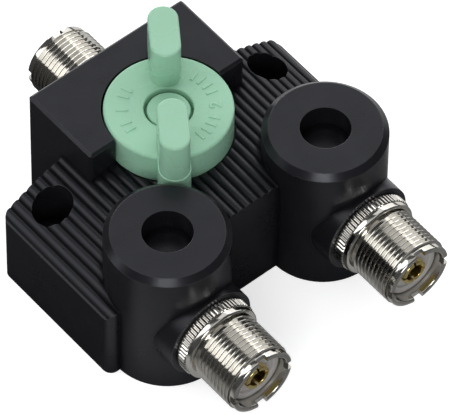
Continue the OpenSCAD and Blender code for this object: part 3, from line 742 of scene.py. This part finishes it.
@dataclass
class ThreadedSocket:
    """A coaxial socket: a knurled and threaded shell with a slotted gold contact in it.

    The thread's depth and the half widths of its ridge are shares of the pitch, and the tooth's
    form is the share of the groove's depth on each column, from crest to crest.
    """

    side: Socket
    flats: int = 96
    slack: float = 0.01
    flange_radius: float = 9.14
    flange_width: float = 2.6
    flange_chamfer: float = 0.25
    teeth: int = 64
    tooth_form: tuple = (0, 0.25, 0.75, 1, 0.75, 0.25)
    groove_depth: float = 0.35
    crest_band: float = 0.3
    tooth_band: float = 0.4
    shoulder_radius: float = 8.8
    shoulder_end: float = 4.0
    shoulder_round: float = 0.5
    neck_radius: float = 7.3
    neck_end: float = 4.4
    thread_radius: float = 7.94
    thread_pitch: float = 25.4 / 24
    thread_depth: float = 0.6134
    thread_end: float = 14.8
    ridge_foot: float = 0.46
    ridge_crest: float = 0.09
    ridge_sink: float = 0.08
    crest_drop: float = 0.03
    ridge_gap: float = 0.0005
    run_out: float = 0.3
    collar_radius: float = 7.6
    rim: float = 16.2
    lip: float = 0.42
    bore_radius: float = 6.3
    spigot_radius: float = 7.0
    spigot_length: float = 4.0
    notch_width: float = 2.2
    notch_depth: float = 1.2
    notch_round: float = 0.12
    floor_slack: float = 0.02
    wall_slack: float = 0.004
    face_depth: float = 2.4
    face_round: float = 0.5
    ring_out: float = 2.0
    ring_bend: float = 0.35
    seat_out: float = 0.5
    seat_rise: float = 0.15
    bore_gap: float = 0.05
    contact_gap: float = 0.02
    contact_radius: float = 2.9
    contact_lip: float = 0.35
    contact_bore: float = 2.0
    bore_lip: float = 0.2
    drill_tip: float = 0.6
    contact_start: float = 2.6
    contact_end: float = 14.7
    contact_depth: float = 8.0
    slot_width: float = 0.5
    slot_length: float = 5.0
    tail_radius: float = 1.4
    tail_start: float = -5.0

    def seat(self) -> Matrix:
        """Finds where the socket's own +Z, pointing out of the body from its seat, lies in the frame.

        Returns:
            The change from the socket's own axes to the frame's.
        """
        low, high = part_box(f"{self.side.value}_connector_shell")
        middle = (low + high) / 2
        ahead = -1 if self.side is not Socket.COMMON else 1
        seat_y = (high.y if ahead < 0 else low.y) + ahead * self.spigot_length * MM
        turn = Matrix.Rotation(math.radians(-90 * ahead), 4, "X")
        return Matrix.Translation((middle.x, seat_y, middle.z)) @ turn

    def root_radius(self) -> float:
        """The thread's radius at its root."""
        return self.thread_radius - self.thread_depth * self.thread_pitch

    def shell_outline(self) -> list:
        """Draws the shell's outline, from the bore's inner end round the outside to the rim's lip.

        Returns:
            The outline's points.
        """
        root, lip = self.root_radius(), self.lip
        edge, bend = self.flange_chamfer, self.shoulder_round
        return [
            (self.bore_radius, -self.spigot_length), (self.spigot_radius, -self.spigot_length),
            (self.spigot_radius, 0), (self.flange_radius - edge, 0), (self.flange_radius, edge),
            (self.flange_radius, self.flange_width - edge), (self.flange_radius - edge, self.flange_width),
            (self.shoulder_radius, self.flange_width), (self.shoulder_radius, self.shoulder_end - bend),
            *arc((self.shoulder_radius - bend, self.shoulder_end - bend), bend, 0, 90, 4),
            (self.neck_radius, self.shoulder_end), (self.neck_radius, self.neck_end),
            (root, self.neck_end), (root, self.thread_end), (self.collar_radius, self.thread_end),
            *arc((self.collar_radius - lip, self.rim - lip), lip, 0, 90, 4),
            *arc((self.bore_radius + lip, self.rim - lip), lip, 90, 180, 4),
        ]

    def thread(self) -> Piece:
        """Makes the thread's ridge, wound along the barrel and faced off at both ends.

        Returns:
            The ridge, which still has to be joined to the shell.
        """
        pitch, top, sunk = self.thread_pitch, self.thread_radius, self.root_radius() - self.ridge_sink
        start = self.neck_end - pitch
        foot, crest = self.ridge_foot * pitch, self.ridge_crest * pitch
        ridge = outline("thread_ridge", [
            (sunk, start - foot), (top - self.crest_drop, start - crest),
            (top, start), (top - self.crest_drop, start + crest), (sunk, start + foot),
        ])
        turns = math.ceil((self.thread_end - start) / pitch) + 1
        press(ridge, "SCREW", angle=math.tau, screw_offset=pitch * MM, iterations=turns,
              steps=self.flats, render_steps=self.flats, axis="Z", use_normal_calculate=True)
        clean(ridge, gap=self.ridge_gap)
        for height, outward in ((self.neck_end + self.slack, False), (self.thread_end - self.run_out, True)):
            edit(ridge, Pick.FACES, every, bpy.ops.mesh.bisect, plane_co=(0, 0, height * MM),
                 plane_no=(0, 0, 1), use_fill=True, clear_outer=outward, clear_inner=not outward,
                 threshold=1e-8)
        return ridge

    def on_column(self, place: Vector, column: int) -> bool:
        """Tells whether a point lies on one column of the knurl's teeth.

        Args:
            place: The point, about the socket's own axis.
            column: The column's number, from a crest.

        Returns:
            True on that column, on the flange's outside.
        """
        columns = self.teeth * len(self.tooth_form)
        turned_by = round(math.atan2(place.y, place.x) / math.tau * columns)
        on_flange = -self.slack * MM < place.z < (self.flange_width + self.slack) * MM
        outside = math.hypot(place.x, place.y) > (self.flange_radius - self.crest_band) * MM
        return on_flange and outside and turned_by % len(self.tooth_form) == column

    def along_tooth(self, place: Vector, aim: Vector) -> bool:
        """Tells whether an edge runs along a tooth of the knurl.

        Args:
            place: The edge's middle, about the socket's own axis.
            aim: The edge's direction.

        Returns:
            True from groove to crest, short of the flange's chamfers.
        """
        low, high = self.crest_band * MM, (self.flange_width - self.crest_band) * MM
        on_tooth = math.hypot(place.x, place.y) > (self.flange_radius - self.tooth_band) * MM
        return on_tooth and low < place.z < high and abs(aim.z) > ALONG

    def beside_notch(self, place: Vector, aim: Vector) -> bool:
        """Tells whether an edge bounds a wall of one of the rim's notches.

        Args:
            place: The edge's middle, about the socket's own axis.
            aim: The edge's direction.

        Returns:
            True above the notches' floor, on one of their walls.
        """
        if place.z < (self.rim - self.notch_depth + self.floor_slack) * MM:
            return False
        for way in (Vector((1, 0, 0)), Vector((0, 1, 0))):
            off_wall = abs(abs(place.dot(way)) - self.notch_width / 2 * MM)
            if off_wall < self.wall_slack * MM and abs(aim.dot(way)) < ACROSS:
                return True
        return False

    def shell(self) -> Piece:
        """Turns the shell, presses its knurl, saws its notches and adds its thread.

        Returns:
            The finished shell, about its own axis.
        """
        columns = self.teeth * len(self.tooth_form)
        piece = turned(f"{self.side.value}_socket_shell", self.shell_outline(), columns)
        for column, share in enumerate(self.tooth_form):
            if share:
                scale = 1 - share * self.groove_depth / self.flange_radius
                edit(piece, Pick.POINTS, lambda place, _: self.on_column(place, column),
                     bpy.ops.transform.resize, value=(scale, scale, 1), center_override=(0, 0, 0))
        cross_cut(piece, (self.notch_width, 4 * self.bore_radius, 2 * self.notch_depth), self.rim)
        edit(piece, Pick.EDGES, self.beside_notch, bpy.ops.mesh.bevel,
             offset=self.notch_round * MM, segments=2, affect="EDGES", clamp_overlap=True)
        clean(piece, gap=MERGED)
        return join([piece, self.thread()])

    def contact(self) -> Piece:
        """Turns the centre contact with its tail and saws the two crossing slots in its end.

        Returns:
            The contact, about its own axis.
        """
        lip, inner_lip = self.contact_lip, self.bore_lip
        bottom = self.contact_end - self.contact_depth
        piece = turned(f"{self.side.value}_centre_contact", [
            (0, self.tail_start), (self.tail_radius, self.tail_start), (self.tail_radius, self.contact_start),
            (self.contact_radius, self.contact_start),
            *arc((self.contact_radius - lip, self.contact_end - lip), lip, 0, 90, 5),
            *arc((self.contact_bore + inner_lip, self.contact_end - inner_lip), inner_lip, 90, 180, 3),
            (self.contact_bore, bottom), (0, bottom - self.drill_tip),
        ], self.flats, closed=False)
        cross_cut(piece, (self.slot_width, 4 * self.contact_radius, 2 * self.slot_length), self.contact_end)
        clean(piece, gap=MERGED)
        return piece

    def insulator(self) -> Piece:
        """Turns the insulator, with a rounded rim, a shallow ring and the seat round the contact.

        Returns:
            The insulator, about its own axis.
        """
        low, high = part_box(f"{self.side.value}_insulator")
        face = self.rim - self.face_depth
        back = face - (high.y - low.y) / MM
        outer, inner = self.bore_radius - self.bore_gap, self.contact_radius + self.contact_gap
        hole, stop = self.tail_radius + self.bore_gap, self.contact_start - self.contact_gap
        edge, bend, ring = self.face_round, self.ring_bend, inner + self.ring_out
        floor, seat = face - 2 * bend, inner + self.seat_out
        return turned(f"{self.side.value}_insulator_ring", [
            (hole, back), (outer, back), *arc((outer - edge, face - edge), edge, 0, 90, 5),
            *arc((ring, face - bend), bend, 90, 180, 4),
            *arc((ring - 2 * bend, face - bend), bend, 0, -90, 4),
            (seat, floor), (seat - self.seat_rise, floor + self.seat_rise),
            (inner, floor + self.seat_rise), (inner, stop), (hole, stop),
        ], self.flats)

    def build(self, finishes: Finishes) -> None:
        """Makes the socket's pieces, puts them on their seat and dresses them.

        Args:
            finishes: The switch's finishes.
        """
        side, seat = self.side.value, self.seat()
        work = (
            (self.shell, f"{side}_connector_shell", "nickel", 28),
            (self.contact, f"{side}_contact", "gold", 35),
            (self.insulator, f"{side}_insulator", "ptfe", 30),
        )
        for make, node, slot, angle in work:
            piece = make()
            smooth(piece, angle)
            if slot == "nickel":
                edit(piece, Pick.EDGES, self.along_tooth, bpy.ops.mesh.mark_sharp, clear=True)
            piece.data.transform(seat)
            finishes.dress(piece, slot)
            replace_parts(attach(piece, "body"), node)
            report(piece)


@dataclass
class Knob:
    """The green knob: a dished disc with a pointer and a second post, a cap and plain numerals.

    Each mark is a numeral, its turn from the pointer and the turns of its tick bars from it. The
    last three heights are read from the frame.
    """

    pointer_turn: float = -125
    smooth_angle: float = 30
    slack: float = 0.01
    disc_radius: float = 13.3
    disc_height: float = 7.3
    disc_flats: int = 144
    edge: float = 0.55
    dish: float = 0.3
    recess_radius: float = 5.1
    recess_depth: float = 3.0
    recess_lip: float = 0.25
    recess_flat: float = 0.3
    screw_hole: float = 1.4
    bore_radius: float = 3.05
    bore_depth: float = 3.45
    post_length: float = 13.3
    post_width: float = 6.3
    post_reach: float = 11.9
    post_edge: float = 0.5
    post_sink: float = 1.0
    post_flats: int = 64
    pointer_step: float = 0.2
    pointer_drop: float = 0.85
    pointer_edge: float = 0.15
    cap_radius: float = 4.5
    cap_sink: float = 0.8
    cap_edge: float = 0.35
    cap_crown: float = 0.02
    cap_wall: float = 1.2
    cap_hollow: float = 1.5
    cap_flats: int = 96
    marks: tuple = (("1", -90, (-32, -21, 21, 32)), ("2", 90, (-53, -42, -31, -20, 20, 31, 42, 53)))
    numeral_height: float = 3.4
    numeral_reach: float = 9.6
    numeral_rise: float = 0.30
    numeral_bevel: float = 0.04
    numeral_weight: float = 0.08
    numeral_gap: float = 0.0001
    tick: tuple = (2.4, 0.6)
    tick_sink: float = 0.1
    tick_round: float = 0.05
    bottom: float = 0
    top: float = 0
    disc_top: float = 0

    def measure(self) -> None:
        """Reads the knob's heights from the frame."""
        low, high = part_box("knob")
        self.bottom, self.top = low.z / MM, high.z / MM
        self.disc_top = self.bottom + self.disc_height

    def disc(self) -> Piece:
        """Turns the disc with its rounded edge, dished top, recess and the shaft's bore.

        Returns:
            The disc.
        """
        bottom, top = self.bottom, self.disc_top
        dished, floor, lip = top - self.dish, top - self.recess_depth, self.recess_lip
        return turned("knob_body", [
            (self.bore_radius, bottom), (self.disc_radius, bottom),
            *arc((self.disc_radius - self.edge, top - self.edge), self.edge, 0, 90, 5),
            (self.recess_radius + self.recess_flat, dished),
            *arc((self.recess_radius + lip, dished - lip), lip, 90, 180, 3),
            (self.recess_radius, floor), (self.screw_hole, floor),
            (self.screw_hole, bottom + self.bore_depth), (self.bore_radius, bottom + self.bore_depth),
        ], self.disc_flats)

    def post(self, side: Post, bottom: float, top: float, edge: float, grow: float = 0) -> Piece:
        """Makes a post: a round blank drawn out to an oval, extruded up, its top edge rounded.

        Args:
            side: Which of the two posts it is.
            bottom: Height of its lower end.
            top: Height of its top.
            edge: Radius of its top edge.
            grow: How much wider it is on each side, and farther out at its outer end.

        Returns:
            The post, with the pointer's direction along +X.
        """
        deselect()
        way = side.value
        radius = self.post_width / 2 + grow
        straight = self.post_length - self.post_width
        bpy.ops.mesh.primitive_circle_add(vertices=self.post_flats, radius=radius * MM, fill_type="NGON",
                                          location=(0, 0, bottom * MM),
                                          rotation=(0, 0, math.pi / self.post_flats))
        piece = bpy.context.object
        piece.name = "knob_post"
        settle(piece)
        for end in (-1, 1):
            inner = 2 * grow if end * way < 0 else 0
            shift = (end * straight / 2 + way * inner) * MM
            edit(piece, Pick.POINTS, lambda place, _: place.x * end > SAME,
                 bpy.ops.transform.translate, value=(shift, 0, 0))
        edit(piece, Pick.FACES, every, bpy.ops.mesh.extrude_region_move,
             TRANSFORM_OT_translate={"value": (0, 0, (top - bottom) * MM)})
        edit(piece, Pick.EDGES, lambda place, aim: place.z > (top - self.slack) * MM and abs(aim.z) < ACROSS,
             bpy.ops.mesh.bevel, offset=edge * MM, segments=4, affect="EDGES")
        piece.data.transform(Matrix.Translation((way * self.post_reach * MM, 0, 0)))
        clean(piece)
        return piece

    def numeral(self, text: str, turn: float, level: float) -> Piece:
        """Makes one raised numeral.

        Args:
            text: The numeral.
            turn: Its turn from the pointer, in degrees.
            level: Height of its middle.

        Returns:
            The numeral, with the pointer's direction along +X.
        """
        deselect()
        bpy.ops.object.text_add(location=(0, 0, 0))
        sign = bpy.context.object
        sign.data.body = text
        sign.data.size = self.numeral_height * MM
        sign.data.extrude = 0.5 * self.numeral_rise * MM
        sign.data.bevel_depth = self.numeral_bevel * MM
        sign.data.offset = self.numeral_weight * MM
        sign.data.bevel_resolution = 1
        sign.data.align_x = "CENTER"
        sign.data.align_y = "CENTER"
        bpy.ops.object.convert(target="MESH")
        sign.name = sign.data.name = f"numeral_{text}"
        spin = Matrix.Rotation(math.radians(turn), 4, "Z")
        reach = Matrix.Translation((self.numeral_reach * MM, 0, level * MM))
        sign.data.transform(spin @ reach @ Matrix.Rotation(math.radians(90), 4, "Z"))
        clean(sign, gap=self.numeral_gap)
        return sign

    def tick_bar(self, turn: float, level: float) -> Piece:
        """Makes one tick bar with a rounded top.

        Args:
            turn: Its turn from the pointer, in degrees.
            level: Height of its middle.

        Returns:
            The bar, with the pointer's direction along +X.
        """
        size = (*self.tick, self.numeral_rise + self.tick_sink)
        tick = bar("tick_bar", size, (self.numeral_reach, 0, level))
        tick.data.transform(Matrix.Rotation(math.radians(turn), 4, "Z"))
        edit(tick, Pick.FACES, lambda _, aim: aim.z > ALONG, bpy.ops.mesh.bevel,
             offset=self.tick_round * MM, segments=2, affect="EDGES")
        return tick

    def numerals(self) -> Piece:
        """Makes the plain numerals with their tick bars, on both sides of the disc.

        Returns:
            All of them as one piece, with the pointer's direction along +X.
        """
        made = []
        level = self.disc_top - self.dish / 2
        for text, middle, offsets in self.marks:
            made.append(self.numeral(text, middle, level))
            made += [self.tick_bar(middle + offset, level) for offset in offsets]
        piece = join(made)
        piece.name = piece.data.name = "knob_numerals"
        return piece

    def cap(self) -> Piece:
        """Turns the cap in the recess.

        Returns:
            The cap.
        """
        top, floor = self.disc_top - self.cap_sink, self.disc_top - self.recess_depth
        wall, hollow, edge = self.cap_radius - self.cap_wall, floor + self.cap_hollow, self.cap_edge
        return turned("knob_centre_cap", [
            (wall, floor), (self.cap_radius, floor),
            *arc((self.cap_radius - edge, top - edge), edge, 0, 90, 4), (0, top + self.cap_crown),
            (0, hollow), (wall, hollow),
        ], self.cap_flats)

    def build(self, finishes: Finishes) -> None:
        """Makes the knob, its cap and numerals, turns them to the pointer and dresses them.

        Args:
            finishes: The switch's finishes.
        """
        self.measure()
        knob, dished = self.disc(), self.disc_top - self.dish
        for side in (Post.REAR, Post.POINTER):
            post = self.post(side, dished - self.post_sink, self.top, self.post_edge)
            cut_with(knob, post, Cut.TOGETHER)
        low = self.bottom + self.pointer_drop
        wide = self.post(Post.POINTER, low, dished, self.pointer_edge, self.pointer_step)
        cut_with(knob, wide, Cut.TOGETHER)
        clean(knob, gap=MERGED)
        turn = Matrix.Rotation(math.radians(self.pointer_turn), 4, "Z")
        numerals, cap = self.numerals(), self.cap()
        for piece, node in ((knob, "knob"), (cap, "knob_cap"), (numerals, None)):
            piece.data.transform(turn)
            smooth(piece, self.smooth_angle)
            finishes.dress(piece, "knob_plastic")
            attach(piece, "rotor")
            if node:
                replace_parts(piece, node)
            report(piece)


@dataclass
class CoverScrews:
    """The four countersunk screws that hold the cover on the underside, with cross recesses."""

    head_radius: float = 2.3
    shank_radius: float = 1.25
    length: float = 7.5
    edge: float = 0.1
    tip: float = 0.4
    flats: int = 48
    recess_span: float = 2.7
    recess_width: float = 0.6
    recess_depth: float = 0.9
    smooth_angle: float = 30
    first_turn: float = 20
    next_turn: float = 31

    def screw(self, name: str, turn: float) -> Piece:
        """Turns one screw, head down, and cuts its cross recess.

        Args:
            name: The screw's name.
            turn: Angle in degrees at which the screw came to rest.

        Returns:
            The screw, about its own axis.
        """
        taper = self.head_radius - self.shank_radius
        piece = turned(name, [
            (0, 0), *arc((self.head_radius - self.edge, self.edge), self.edge, -90, 0, 3),
            (self.shank_radius, taper), (self.shank_radius, self.length - self.tip),
            (self.shank_radius - self.tip, self.length), (0, self.length),
        ], self.flats, closed=False)
        cross_cut(piece, (self.recess_span, self.recess_width, 2 * self.recess_depth), 0, turn)
        clean(piece, gap=MERGED)
        return piece

    def build(self, finishes: Finishes) -> None:
        """Makes the screws and puts each in its hole.

        Args:
            finishes: The switch's finishes.
        """
        low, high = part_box("cover_screws")
        reach = self.head_radius * MM
        places = [(x, y) for x in (low.x + reach, high.x - reach) for y in (low.y + reach, high.y - reach)]
        for index, (x, y) in enumerate(places):
            piece = self.screw(f"cover_screw_{index + 1}", self.first_turn + self.next_turn * index)
            piece.data.transform(Matrix.Translation((x, y, 0)))
            smooth(piece, self.smooth_angle)
            finishes.dress(piece, "steel")
            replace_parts(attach(piece, "body"), "cover_screws")
            report(piece)


@dataclass
class Body:
    """The pieces of the frame that keep their own shape, by finish."""

    slots: tuple = (
        ("body_paint", ("housing", "bottom_cover")),
        ("steel", ("detent_screws", "knob_screw", "shaft", "retaining_ring",
                   "spring_washer", "rotor_pin", "detent_ball", "detent_spring", "detent_plate")),
        ("silver", ("left_conductor", "right_conductor", "common_conductor", "left_contact_jaw",
                    "right_contact_jaw", "contact_blade", "ground_sector")),
        ("ptfe", ("left_bead", "right_bead", "contact_base", "rotor")),
        ("brass", ("shaft_bushing", "rotor_rivets")),
    )

    def build(self, finishes: Finishes) -> None:
        """Dresses each piece.

        Args:
            finishes: The switch's finishes.
        """
        for slot, names in self.slots:
            for name in names:
                finishes.dress_node(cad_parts[name], slot)
                report(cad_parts[name])


@dataclass
class Studio:
    """A pale floor, soft lights and the camera at the photograph's view.

    The camera's place is in millimetres. Lights and floor are in metres, the floor's gap aside, and
    each light has a name, a place, a width and height, and a power in watts. To reflections the
    floor shows greys that stand for a room: a run of stops to the left and one to the right, by
    their share of the floor's reach, and even greys in front and behind. The greys close to the
    switch are a painted shadow, and the pale greys and bright stops a painted lit backdrop. Each
    edge is where along X or Y one grey gives way to the next.
    """

    azimuth: float = -40.493
    elevation: float = 52.738
    roll: float = 0.867
    place: tuple = (-498.1, -601.3, 1027.1)
    lens: float = 500.8
    sensor: float = 36.0
    clip_end: float = 100
    lights: tuple = (
        ("top_box", (-0.10, -0.25, 1.50), (1.3, 1.3), 2.5),
        ("overhead_box", (0.52, 0.50, 1.04), (1.1, 0.70), 1.9),
        ("right_box", (1.05, 0.34, 0.62), (1.3, 0.9), 4.6),
        ("key_box", (-0.80, 0.58, 0.85), (0.45, 1.30), 3.6),
        ("back_box", (0.47, 1.04, 0.37), (0.9, 0.5), 5.0),
        ("front_box", (-0.69, -0.79, 0.77), (0.5, 0.4), 4.6),
    )
    sky: tuple = (0.95, 0.97, 1.0, 1)
    fill: float = 0.34
    mirrored_fill: float = 0.08
    floor_size: float = 6.0
    floor_gap: float = 0.05
    glow: float = 0.62
    plain_greys: tuple = (0.78, 0.80)
    plain_scale: float = 3
    # The first stops of each run, close to the switch, are a painted shadow for reflections.
    left_run: tuple = ((0.0, 0.15), (0.105, 0.15), (0.125, 0.62), (0.16, 0.55), (0.20, 0.12), (0.55, 0.04))
    right_run: tuple = ((0.0, 0.03), (0.105, 0.03), (0.14, 0.18), (0.20, 0.22), (0.50, 0.38), (1.0, 0.38))
    reach: float = 0.4
    dark: float = 0.05
    pale: float = 0.85
    front: float = 0.20
    front_edge_y: tuple = (-0.062, -0.055)
    back_edge_y: tuple = (-0.03, -0.02)
    far_edge_y: tuple = (0.045, 0.055)
    dark_edge_x: tuple = (0, 0.005)
    side_edge_x: tuple = (0.025, 0.045)

    def camera(self) -> None:
        """Sets the camera up."""
        turn, tilt, roll = (math.radians(a) for a in (self.azimuth, self.elevation, self.roll))
        ahead = Vector((-math.sin(turn) * math.cos(tilt), math.cos(turn) * math.cos(tilt), -math.sin(tilt)))
        right = Vector((math.cos(turn), math.sin(turn), 0))
        above = right.cross(ahead)
        side = math.cos(roll) * right + math.sin(roll) * above
        top = -math.sin(roll) * right + math.cos(roll) * above
        deselect()
        bpy.ops.object.camera_add()
        camera = bpy.context.object
        camera.data.lens = self.lens
        camera.data.sensor_width = self.sensor
        camera.data.sensor_fit = "HORIZONTAL"
        camera.data.clip_end = self.clip_end
        axes = Matrix((side, top, -ahead)).transposed().to_4x4()
        camera.matrix_world = Matrix.Translation([p * MM for p in self.place]) @ axes
        bpy.context.scene.camera = camera

    def softbox(self, name: str, place: tuple, size: tuple, power: float) -> None:
        """Hangs one soft light that looks at the switch.

        Args:
            name: The light's name.
            place: Its place in metres.
            size: Its width and height in metres.
            power: Its power in watts.
        """
        deselect()
        bpy.ops.object.light_add(type="AREA", location=place)
        light = bpy.context.object
        light.name = name
        light.data.shape = "RECTANGLE"
        light.data.size, light.data.size_y = size
        light.data.energy = power
        light.rotation_euler = (-Vector(place)).to_track_quat("-Z", "Y").to_euler()

    def mirrored_floor(self, bench: Bench) -> Value:
        """Lays out the greys that reflections see, with a painted shadow close to the switch.

        Args:
            bench: The floor's material.

        Returns:
            The colour.
        """
        reach = bench.add("ShaderNodeVectorMath", operation="LENGTH")
        bench.tie(bench.place, reach.inputs[0])
        share = bench.span(reach.outputs["Value"], 0, self.reach)
        across = bench.add("ShaderNodeSeparateXYZ")
        bench.tie(bench.place, across.inputs[0])
        x, y = across.outputs["X"], across.outputs["Y"]
        back = bench.span(y, *self.back_edge_y)
        far = bench.blend(bench.span(y, *self.far_edge_y), grey(self.dark), grey(self.pale))
        behind = bench.blend(bench.span(x, *self.dark_edge_x), grey(self.dark), far)
        left = bench.blend(back, bench.ramp(share, self.left_run), behind)
        right = bench.blend(back, bench.ramp(share, self.right_run), grey(self.pale))
        sides = bench.blend(bench.span(x, *self.side_edge_x), left, right)
        return bench.blend(bench.span(y, *self.front_edge_y), grey(self.front), sides)

    def floor(self) -> None:
        """Lays the floor, pale to the camera and a set of greys to reflections."""
        deselect()
        bpy.ops.mesh.primitive_grid_add(x_subdivisions=8, y_subdivisions=8, size=self.floor_size,
                                        location=(0, 0, -self.floor_gap * MM))
        floor = bpy.context.object
        floor.name = "studio_floor"
        settle(floor)
        bench = Bench("pale_floor")
        mirrored = self.mirrored_floor(bench)
        cloud = bench.noise(self.plain_scale, detail=2)
        plain = bench.blend(cloud, *(grey(level) for level in self.plain_greys))
        ray = bench.add("ShaderNodeLightPath")
        bench.feed("Base Color", bench.blend(ray.outputs["Is Glossy Ray"], plain, mirrored))
        bench.feed("Emission Strength", bench.span(ray.outputs["Is Camera Ray"], 0, 1, (0, self.glow)))
        bench.set(Roughness=0.9, Specular_IOR_Level=0.1, Emission_Color=(1, 1, 1, 1))
        floor.data.materials.append(bench.material)

    def world(self) -> None:
        """Fills the shadows with an even light that reflections see dimmed."""
        world = bpy.data.worlds.new("studio")
        world.use_nodes = True
        nodes, links = world.node_tree.nodes, world.node_tree.links
        nodes["Background"].inputs["Color"].default_value = self.sky
        ray = nodes.new("ShaderNodeLightPath")
        dim = nodes.new("ShaderNodeMapRange")
        dim.inputs["To Min"].default_value, dim.inputs["To Max"].default_value = self.fill, self.mirrored_fill
        links.new(ray.outputs["Is Glossy Ray"], dim.inputs["Value"])
        links.new(dim.outputs["Result"], nodes["Background"].inputs["Strength"])
        bpy.context.scene.world = world

    def build(self) -> None:
        """Sets up the floor, the world, the lights and the camera."""
        self.floor()
        self.world()
        for light in self.lights:
            self.softbox(*light)
        bpy.context.scene.view_settings.view_transform = "Standard"
        self.camera()


def main() -> None:
    """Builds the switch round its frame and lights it."""
    logging.basicConfig(level=logging.INFO, format="%(message)s")
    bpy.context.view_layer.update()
    finishes = Finishes()
    Body().build(finishes)
    for side in Socket:
        ThreadedSocket(side).build(finishes)
    Knob().build(finishes)
    CoverScrews().build(finishes)
    Studio().build()


if __name__ == "__main__":
    main()
